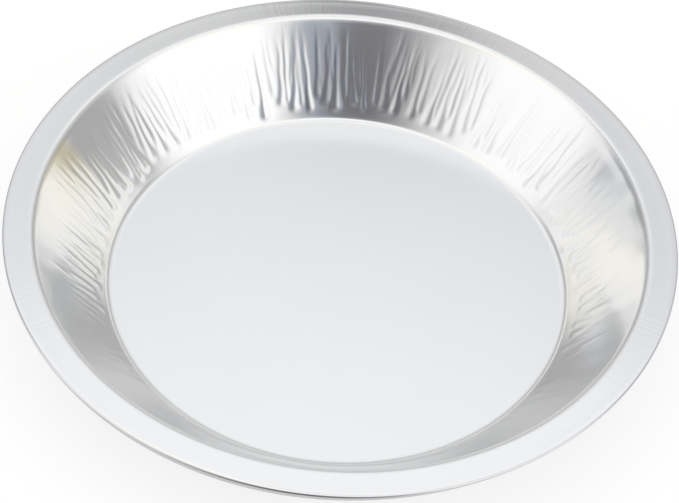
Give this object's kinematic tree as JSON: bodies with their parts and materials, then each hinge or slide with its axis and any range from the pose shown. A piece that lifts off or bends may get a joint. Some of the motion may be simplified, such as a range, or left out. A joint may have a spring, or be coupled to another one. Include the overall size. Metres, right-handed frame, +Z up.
{
  "type": "foil pie tin",
  "caption": "Round shallow pie tin pressed from one sheet of foil, with a flat floor, a gathered sloping wall and a flat rim that ends in a rolled edge.",
  "frame": {"origin": "centre of the underside of the floor", "axes": "+Z up out of the tin, +X and +Y anywhere round it"},
  "size_m": [0.2286, 0.2286, 0.0307],
  "materials": {
    "foil": "bright rolled foil, satin on the floor and rim"
  },
  "bodies": {
    "root": {"pie_tin": "foil"}
  },
  "joints": []
}
